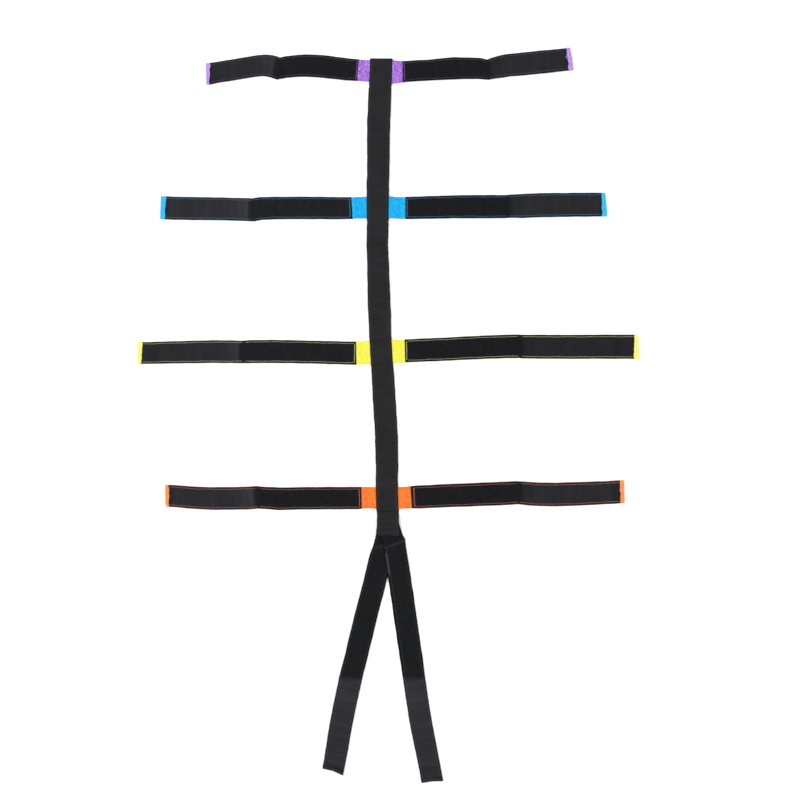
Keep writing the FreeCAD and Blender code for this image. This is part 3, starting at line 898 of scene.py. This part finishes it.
def loop_pile(strap, at, low, material, seed, row_depth, row_width, **options):
    """The loop tape, thin at both ends and pressed down under its cross row of sewing."""
    scale = 0.35 + 0.65 * ease((strap.fold_at - at) / 2.2)
    scale = 0.62 + 0.38 * ease((at - at[0]) / 1.8) * scale
    scale = scale * (1 - row_depth * dip(at - at[0] - strap.cross_row, row_width))
    return flat_ribbon(strap.name + "_loop_pile", strap.line, at, low + WEB, LOOP_SECTION,
                       material, seed, pile_relief(seed + 100, 0.05), edge=0.14, scale=scale,
                       origin=at[0], **options)


def hook_strip(strap, at, along, material, seed):
    """The hook tape, from the tape fold to under the turned end."""
    made = flat_ribbon(strap.name + "_hook_strip", strap.line, at, np.full(len(at), WEB),
                       HOOK_SECTION, material, seed, pile_relief(seed + 100, 0.04), edge=0.14,
                       inset=-0.1, scale=0.75 + 0.25 * ease((at - strap.fold_at) / 2.2),
                       origin=strap.fold_at, trim=strap.pinch(), along=along)
    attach(made, strap.outer)
    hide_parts(strap.name + "_hook_tape")


def sew_hooks(strap, rows, hem_share, hem_row_seed, material, seed):
    """The given rows, and one across the turned end at a share of its length."""
    rows.append(row_across(strap.line, strap.end_at - min(strap.hem) * hem_share, -20.0, 20.0,
                           2 * WEB + HOOK - 0.24, 4.2, 3.4, hem_row_seed, fat=0.8))
    made = stitches(strap.name + "_hook_sewing", rows, material, seed)
    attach(made, strap.outer)


# ------------------------------------------------------------------- the spine
def spine_line():
    lower, centre, upper = (JOINT["spine_fold_" + part] for part in ("lower", "middle", "upper"))
    first = 2 * middle("spine_front_chest") - lower
    last = 2 * middle("spine_front_ankle") - upper - (0, 1.0)
    nodes = np.array([first, lower, centre, upper, last])
    y = np.arange(nodes[0, 1], nodes[-1, 1], 4.0)
    offset, half = read_table(SPINE_LIE, y)
    x = np.interp(y, nodes[:, 1], nodes[:, 0]) + offset
    points = [*zip(x, y), nodes[-1] + (SPINE_LIE[-1][1], 0)]
    return Line(points, [*half, half[-1]], reach=5, passes=3)


SPINE = spine_line()
ARMS = {name: Strap(name, number) for number, name in enumerate(ARM_NAMES)}
CROSSING = {row: (ARMS[row + "_left"].start_laid + ARMS[row + "_right"].start_laid) / 2
            for row in ROWS}
CROSSING_AT = {row: SPINE.near(CROSSING[row]) for row in ROWS}
SEAMS = {row: (-SEAM,) if row == "ankle" else (-SEAM, SEAM) for row in ROWS}
SPLIT_LOW = CROSSING_AT["waist"] - SEAM     # where the spine's three stretches meet
SPLIT_HIGH = CROSSING_AT["thigh"] - SEAM
# The stretches: the two sections, and Y before and after the fold between them.
SPINE_BENDS = {"lower": ("chest", "waist", -4, 4.5), "middle": ("waist", "thigh", -1.6, 1.6),
               "upper": ("thigh", "ankle", -4, 4.5)}


def front_low(s):
    """Height of the underside of the spine's front layer."""
    z = np.full(s.shape, FRONT)
    for row in ROWS:
        away = np.abs(s - CROSSING_AT[row])
        if row == "ankle":
            away = np.where(s > CROSSING_AT[row], 0, away)
        z = z + (TUNNEL - FRONT) * (1 - ease((away - 26.5) / 6.5))
    z = z + (YOKE - FRONT) * (1 - ease((s - (YOKE_END - 9)) / 14.0))
    for row in ROWS:    # pressed down under the rows of sewing
        for seam in SEAMS[row]:
            z = z - 0.16 * dip(s - CROSSING_AT[row] - seam, 1.6)
    return z


def nick(s):
    """The edges are drawn in a little by the seams below the ankle and thigh straps."""
    return sum(0.9 * dip(s - CROSSING_AT[row] + SEAM, 1.8) for row in ("ankle", "thigh"))


def spine_stations(start, end):
    """Stations along the spine, close together where it folds."""
    spans = []
    for part in SPINE_BENDS:
        bend = SPINE.near(JOINT["spine_fold_" + part])
        if start + 6 < bend < end - 6:
            spans += [(bend - 5.2, 0.62), (bend + 5.2, 0.3)]
    return stations(start, *spans, (end, 0.62))


SPINE_LOOK = dict(section=WEB_PLAIN, material=spine_weave, relief=spine_relief, edge=0.28,
                  trim=(nick, nick))


def spine_piece(name, start, end, low, seed):
    at = spine_stations(start, end)
    tilt = np.arctan(np.gradient(low(at) + WEB / 2, at))
    return ribbon(name, SPINE, at, at, low(at) + WEB / 2, tilt, seed=seed, **SPINE_LOOK)


def spine_upper():
    """Along the front, round the end over the ankle strap, and back underneath."""
    r = TUNNEL / 2
    flat = spine_stations(SPLIT_HIGH, SPINE.length - r - WEB / 2)
    turn = np.linspace(0, math.pi, 15)[1:]
    height = front_low(flat) + WEB / 2
    tilt = np.arctan(np.gradient(height, flat))
    last, back = flat[-1], flat[::-1][1:]
    cloth = np.r_[flat, last + turn * r, last + math.pi * r + (last - back)]
    place = np.r_[flat, last + r * np.sin(turn), back]
    height = np.r_[height, height[-1] - r + r * np.cos(turn), np.full(len(back), WEB / 2)]
    tilt = np.r_[tilt, -turn, np.full(len(back), -math.pi)]
    return ribbon("spine_webbing_upper", SPINE, cloth, place, height, tilt, seed=11,
                  **SPINE_LOOK)


def bend_spine(piece):
    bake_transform(piece)


def build_spine():
    back_y = box_mm("spine_back_chest")[0][1] + 1
    back_x = np.interp(back_y, SPINE.points[:, 1], SPINE.points[:, 0])
    back_start = SPINE.near((back_x, back_y))
    front_lower = spine_piece("spine_front_webbing_lower", 0.0, SPLIT_LOW, front_low, 11)
    front_middle = spine_piece("spine_front_webbing_middle", SPLIT_LOW, SPLIT_HIGH, front_low, 11)
    upper = spine_upper()
    back_lower = spine_piece("spine_back_webbing_lower", back_start, SPLIT_LOW,
                             np.zeros_like, 31)
    back_middle = spine_piece("spine_back_webbing_middle", SPLIT_LOW, SPLIT_HIGH,
                              np.zeros_like, 31)
    for piece, part, *nodes in (
            (front_lower, "lower", "spine_front_chest"),
            (back_lower, "lower", "spine_back_chest"),
            (front_middle, "middle", "spine_front_waist"),
            (back_middle, "middle", "spine_back_waist", "spine_back_thigh"),
            (upper, "upper", "spine_front_thigh", "spine_front_ankle", "spine_back_ankle")):
        bend_spine(piece)
        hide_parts(*nodes)


def sew_crossing(row):
    """Double seams beside a cross strap, and the box of sewing over the shoulder straps."""
    def height(s, t):
        return front_low(s) + WEB + 0.1

    size = dict(height=height, pitch=3.6, length=2.9)
    rows = [row_across(SPINE, CROSSING_AT[row] + seam + offset, -21.5, 21.5,
                       seed=400 + k + int(seam), **size)
            for seam in SEAMS[row] for k, offset in enumerate((-1.1, 1.1))]
    if row == "chest":
        rows += [row_across(SPINE, at, -21.5, 21.5, seed=430 + k, **size)
                 for k, at in enumerate((7.0, 9.6, 31.0))]
        rows += [row_along(SPINE, 9.6, 31.0, aside, seed=440 + k, **size)
                 for k, aside in enumerate((-21.3, 21.3))]
    made = stitches("spine_sewing_" + row, rows, black_thread, 95, thick=0.4)
    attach(made, "spine_" + row)
    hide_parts("spine_seams_" + row)


def sew_spine_edges(part, start, end, seed):
    """Long rows inside both edges of the spine, broken at the cross straps."""
    spans, at = [], start
    for row in ROWS:
        gap_start, gap_end = CROSSING_AT[row] - SEAM - 3, CROSSING_AT[row] + SEAM + 3
        if start - 2 < gap_end and gap_start < end:
            if gap_start - at > 9:
                spans.append((at, gap_start))
            at = max(at, gap_end)
    if end - at > 9:
        spans.append((at, end - 1.5))
    rows = [row_along(SPINE, first, last, lambda s: sign * (SPINE.half(s) - 3.9),
                      lambda s, t: front_low(s) + WEB + 0.04, pitch=4.4, length=3.3,
                      seed=460 + int(first) + sign, fat=0.85)
            for first, last in spans for sign in (1, -1)]
    made = stitches("spine_edge_sewing_" + part, rows, black_thread, seed, thick=0.4)
    bend_spine(made)


# -------------------------------------------------------------------- the arms
def build_arm(strap):
    name, n = strap.name, strap.number
    row, side = name.split("_")
    slot, fat = CLOTH[row]["colour"] + "_webbing", CLOTH[row]["fat"]
    strap.set_line([CROSSING[row]] + strap.points, strap.halves[:1] + strap.halves, reach=2)
    line, fold, end, crease = strap.line, strap.fold_at, strap.end_at, strap.crease_at
    half_way = strap.start_at + (fold - strap.start_at) * 0.5
    tape = strap.start_at + strap.bare

    # webbing from inside the spine to the middle of the loop half
    at = stations(0.0, (crease - 3.2, 0.7), (crease + 3.2, 0.28), (tape + 4, 0.7),
                  (half_way, 2.0))
    low = CROSS * (1 - ease((at - strap.start_at - 0.5) / 15.0))
    near = flat_ribbon(name + "_webbing_near", line, at, low + WEB / 2, WEB_PLAIN, webbing[row],
                       100 + n, rib_relief(2.3))
    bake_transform(near)
    centre = [row + "_webbing_centre"] if side == "left" else []
    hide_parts(*centre, name + "_inner_webbing")
    turned_webbing(strap, half_way, webbing_lit_ends[row], seed=100 + n, pitch=2.3)

    at = stations(tape, (tape + 10, 0.5), (fold - 9, 1.2), (fold - 0.05, 0.7))
    loop = loop_pile(strap, at, 0 * at, loop_mats[name], 200 + n, row_depth=0.26, row_width=1.6,
                     inset=-0.1, trim=strap.pinch(),
                     along=lambda s, t: strap.slant * t * np.exp(-(s - tape) / 24.0))
    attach(loop, strap.inner)
    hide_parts(name + "_loop_tape")

    hook_end = end - strap.hem[1] + 2.4
    at = stations(fold + 0.05, (fold + 9, 0.7), (hook_end - 8, 1.2), (hook_end, 0.6))
    hook_strip(strap, at, lambda s, t: -strap.hem_extra(t) * ease((s - (hook_end - 10.0)) / 9.0),
               hook_mats[name], 260 + n)

    inset = 4.7 if row == "chest" else 4.2
    row_at = tape + strap.cross_row
    rows = strap.edge_rows(row_at + 2, (fold - 4, fold - 4), LOOP_THREAD, inset, length=3.6,
                           seed=500 + n * 4, fat=fat)
    rows += [row_across(line, row_at + offset, -20.6, 20.6, WEB + PILE * 0.76, 4.4, 3.9,
                        520 + n * 2 + k, slant=strap.slant, fat=1.2)
             for k, offset in enumerate((-0.6, 0.6))]
    if name == "chest_left":
        rows.append(row_across(line, fold - 2.6, -20.6, 20.6, WEB + PILE * 0.74, 4.4, 3.4, 537,
                               fat=0.6))
    if name == "chest_right":
        rows.append(row_across(line, fold - 2.6, -20.6, -3.0, WEB + PILE * 0.78, 4.4, 3.2, 538,
                               fat=0.4))
    sewing = stitches(name + "_loop_sewing", rows, threads[row], 600 + n)
    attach(sewing, strap.inner)
    ends = [end - float(across(strap.hem, aside)) - 0.5 for aside in (21, -21)]
    rows = strap.edge_rows(fold + 4, ends, HOOK_THREAD, inset, length=3.6, seed=540 + n * 4,
                           fat=fat)
    sew_hooks(strap, rows, 0.5, 560 + n, threads[row], 620 + n)


# --------------------------------------------------------- the shoulder straps
def build_shoulder(side, n):
    name, look = "shoulder_" + side, SHOULDER[side]
    strap = Strap(name, n)
    shift, cut = look["shift"], look["cut"]
    bow, tuck = (np.array(look[key], float).T for key in ("bow", "tuck"))
    root = middle(name + "_root_webbing")
    way = unit(strap.start - root)
    sideways = np.array([-way[1], way[0]])
    top = root + way * (look["top"] - root[1]) / way[1]
    points = [top + (strap.start - top) * k for k in np.linspace(0, 0.94, 16)] + strap.points
    points = [p + sideways * np.interp(p[1], *bow) for p in points]
    strap.set_line(points, [25.0] * 16 + strap.halves, reach=3)
    line, fold, end, crease = strap.line, strap.fold_at, strap.end_at, strap.crease_at

    def y_at(s):
        return line.at(s)[0][..., 1]

    def low(s):
        y = y_at(s)
        return look["rise"] * ease((y + 204.0) / 34.0) + look["extra"] * ease((y + 98) / 12)

    def droop(s, t):
        y = y_at(s)
        hang = ease((y + 200) / 26.0) * ease((-y - 60.0) / 30.0)
        return -look["droop"] * ease((t + 6) / 30.0) * hang

    def level_cut(s, t):
        return cut * t * dip(s - fold, 14.0)

    trim = (lambda s: np.interp(y_at(s), *tuck), untrimmed)

    half_way = strap.start_at + (fold - strap.start_at) * 0.55
    at = stations(0.0, (crease - 5, 1.2), (crease + 5, 0.35),
                  (max(strap.start_at, crease) + 12, 1.2), (half_way, 2.0))
    near = flat_ribbon(name + "_webbing_near", line, at, low(at) + WEB / 2, WEB_PLAIN,
                       shoulder_weave, 150 + n, rib_relief(2.9), lift=droop, trim=trim)
    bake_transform(near)
    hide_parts(name + "_root_webbing", name + "_inner_webbing")
    turned_webbing(strap, half_way, shoulder_end_weave, 150 + n, pitch=2.9)

    # loop tape: its end next to the spine is cut on a slant
    tape = line.near(top + way * ((-99.5 - top[1]) / way[1]))
    at = stations(tape, (tape + 6, 0.5), (crease - 5, 1.2), (crease + 5, 0.35), (fold - 3, 1.2),
                  (fold - 0.05, 0.6))

    def skew(s, t):
        return strap.slant * t * np.exp(-(s - tape) / 26.0) + level_cut(s, t)

    loop = loop_pile(strap, at, low(at), shoulder_loops[side], 240 + n, row_depth=0.22,
                     row_width=1.0, inset=0.3 + shift, shift=shift, lift=droop, along=skew,
                     trim=trim)
    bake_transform(loop)
    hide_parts(name + "_root_tape", name + "_loop_tape")
    at = stations(fold + 0.05, (fold + 3, 0.6), (end - strap.hem[1] + 2.2, 1.2))
    hook_strip(strap, at, level_cut, shoulder_hooks, 280 + n)

    def on_loop(s, t):
        return low(s) + droop(s, t) + LOOP_THREAD

    rows = strap.edge_rows(tape + 18, (fold - 5, fold - 5), on_loop, 4.2, length=3.5,
                           seed=580 + n * 4, fat=0.72, shift=shift)
    rows.append(row_across(line, tape + strap.cross_row, -18.0, 18.0,
                           lambda s, t: on_loop(s, t) + PILE * 0.3 - 0.2, 4.5, 3.7, 590 + n,
                           slant=strap.slant * 0.95, fat=0.3))
    sewing = stitches(name + "_loop_sewing", rows, black_thread, 640 + n)
    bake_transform(sewing)
    rows = strap.edge_rows(fold + 5, [end - strap.hem[1] + 0.5] * 2, HOOK_THREAD, 4.2,
                           length=3.5, seed=594 + n * 4, fat=0.72)
    sew_hooks(strap, rows, 0.55, 598 + n, black_thread, 650 + n)


# ------------------------------------------------ floor, light and camera (metres)
def build_floor():
    mesh = bpy.data.meshes.new("floor")
    corners = [(x, y, -0.0008) for x, y in ((-6, -6), (6, -6), (6, 6), (-6, 6))]
    mesh.from_pydata(corners, [], [(0, 1, 2, 3)])
    material = bpy.data.materials.new("floor_white")
    material.use_nodes = True
    inputs = material.node_tree.nodes["Principled BSDF"].inputs
    inputs["Base Color"].default_value = (0.93, 0.93, 0.93, 1)
    inputs["Roughness"].default_value = 0.9
    inputs["Specular IOR Level"].default_value = 0.1
    mesh.materials.append(material)
    floor = bpy.data.objects.new("floor", mesh)
    bpy.context.scene.collection.objects.link(floor)


def light_world():
    world = bpy.data.worlds.new("studio")
    world.use_nodes = True
    inputs = world.node_tree.nodes["Background"].inputs
    inputs["Color"].default_value = (1, 1, 1, 1)
    inputs["Strength"].default_value = 0.85
    bpy.context.scene.world = world


def softbox(name, location, size, power):
    """A square lamp aimed at a point on the spine."""
    light = bpy.data.lights.new(name, "AREA")
    light.energy = power
    light.size = size
    lamp = bpy.data.objects.new(name, light)
    lamp.location = location
    aim = np.array((0, 0.2, 0), float) - np.array(location, float)
    lamp.rotation_euler = Vector(aim).to_track_quat("-Z", "Y").to_euler()
    bpy.context.scene.collection.objects.link(lamp)


def place_camera():
    data = bpy.data.cameras.new("camera")
    data.lens = 48.816
    data.sensor_width = 36.0
    camera = bpy.data.objects.new("camera", data)
    camera.location = (0.3412, 0.2172, 2.3796)
    camera.rotation_euler = (0, 0.13045, 0)
    bpy.context.scene.collection.objects.link(camera)
    bpy.context.scene.camera = camera


build_spine()
for row_name in ROWS:
    sew_crossing(row_name)
sew_spine_edges("lower", YOKE_END + 2, SPLIT_LOW, seed=101)
sew_spine_edges("middle", SPLIT_LOW, SPLIT_HIGH, seed=102)
sew_spine_edges("upper", SPLIT_HIGH, SPINE.length - 5, seed=101)
for arm in ARMS.values():
    build_arm(arm)
for number, side_name in enumerate(("left", "right")):
    build_shoulder(side_name, number)
build_floor()
light_world()
softbox("softbox_left", location=(-2.2, 1.4, 3.2), size=2.2, power=75)
softbox("softbox_right", location=(2.4, -0.6, 3.0), size=2.2, power=55)
place_camera()
bpy.context.scene.view_settings.view_transform = "Standard"
